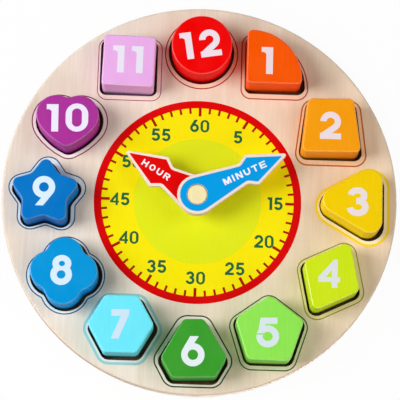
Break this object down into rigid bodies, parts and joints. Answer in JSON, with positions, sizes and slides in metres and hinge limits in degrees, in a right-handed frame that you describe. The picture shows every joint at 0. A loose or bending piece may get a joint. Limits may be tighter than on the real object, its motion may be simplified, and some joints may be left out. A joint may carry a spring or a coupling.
{
  "type": "wooden shape sorter clock",
  "caption": "Round plywood play clock with a socket and a coloured lift-out shape block at each hour, and two hands that turn by hand about a centre peg.",
  "frame": {"origin": "centre of the back face", "axes": "+Z out of the dial, away from the surface that the back lies on; +Y from the centre to 12 o'clock; +X to 3 o'clock"},
  "size_m": [0.22, 0.22, 0.0255],
  "materials": {
    "birch_ply": "clear matt lacquer over pale birch",
    "back_ply": "plain sanded ply",
    "beech": "sanded, waxed",
    "steel": "zinc plated",
    "felt": "pressed felt",
    "orange_paint": "smooth satin water paint",
    "amber_paint": "smooth satin water paint",
    "yellow_paint": "smooth satin water paint",
    "lime_paint": "smooth satin water paint",
    "light_green_paint": "smooth satin water paint",
    "green_paint": "smooth satin water paint",
    "sky_paint": "smooth satin water paint",
    "blue_paint": "smooth satin water paint",
    "deep_blue_paint": "smooth satin water paint",
    "purple_paint": "smooth satin water paint",
    "pink_paint": "smooth satin water paint",
    "red_paint": "smooth satin water paint"
  },
  "bodies": {
    "board": {"base_panel": "back_ply", "top_panel": "birch_ply", "axle_peg": "beech", "spacer_collar": "beech", "lower_washer": "felt", "middle_washer": "felt", "rear_washer": "steel", "rear_screw": "steel"},
    "hour_hand": {"hour_hand": "birch_ply"},
    "minute_hand": {"minute_hand": "birch_ply"},
    "block_1": {"block_1_quarter_disc": "orange_paint"},
    "block_2": {"block_2_trapezoid": "amber_paint"},
    "block_3": {"block_3_triangle": "yellow_paint"},
    "block_4": {"block_4_rhombus": "lime_paint"},
    "block_5": {"block_5_pentagon": "light_green_paint"},
    "block_6": {"block_6_cut_triangle": "green_paint"},
    "block_7": {"block_7_hexagon": "sky_paint"},
    "block_8": {"block_8_quatrefoil": "blue_paint"},
    "block_9": {"block_9_star": "deep_blue_paint"},
    "block_10": {"block_10_heart": "purple_paint"},
    "block_11": {"block_11_square": "pink_paint"},
    "block_12": {"block_12_disc": "red_paint"}
  },
  "joints": [
    {"name": "hour_hand_turn", "type": "hinge", "parent": "board", "child": "hour_hand", "pos_m": [-0.0015, -0.0015, 0.02], "axis": [0, 0, -1], "continuous": true},
    {"name": "minute_hand_turn", "type": "hinge", "parent": "board", "child": "minute_hand", "pos_m": [-0.0015, -0.0015, 0.0235], "axis": [0, 0, -1], "continuous": true},
    {"name": "block_1_lift", "type": "slide", "parent": "board", "child": "block_1", "axis": [0, 0, 1], "range_m": [0, 0.025]},
    {"name": "block_2_lift", "type": "slide", "parent": "board", "child": "block_2", "axis": [0, 0, 1], "range_m": [0, 0.025]},
    {"name": "block_3_lift", "type": "slide", "parent": "board", "child": "block_3", "axis": [0, 0, 1], "range_m": [0, 0.025]},
    {"name": "block_4_lift", "type": "slide", "parent": "board", "child": "block_4", "axis": [0, 0, 1], "range_m": [0, 0.025]},
    {"name": "block_5_lift", "type": "slide", "parent": "board", "child": "block_5", "axis": [0, 0, 1], "range_m": [0, 0.025]},
    {"name": "block_6_lift", "type": "slide", "parent": "board", "child": "block_6", "axis": [0, 0, 1], "range_m": [0, 0.025]},
    {"name": "block_7_lift", "type": "slide", "parent": "board", "child": "block_7", "axis": [0, 0, 1], "range_m": [0, 0.025]},
    {"name": "block_8_lift", "type": "slide", "parent": "board", "child": "block_8", "axis": [0, 0, 1], "range_m": [0, 0.025]},
    {"name": "block_9_lift", "type": "slide", "parent": "board", "child": "block_9", "axis": [0, 0, 1], "range_m": [0, 0.025]},
    {"name": "block_10_lift", "type": "slide", "parent": "board", "child": "block_10", "axis": [0, 0, 1], "range_m": [0, 0.025]},
    {"name": "block_11_lift", "type": "slide", "parent": "board", "child": "block_11", "axis": [0, 0, 1], "range_m": [0, 0.025]},
    {"name": "block_12_lift", "type": "slide", "parent": "board", "child": "block_12", "axis": [0, 0, 1], "range_m": [0, 0.025]}
  ]
}
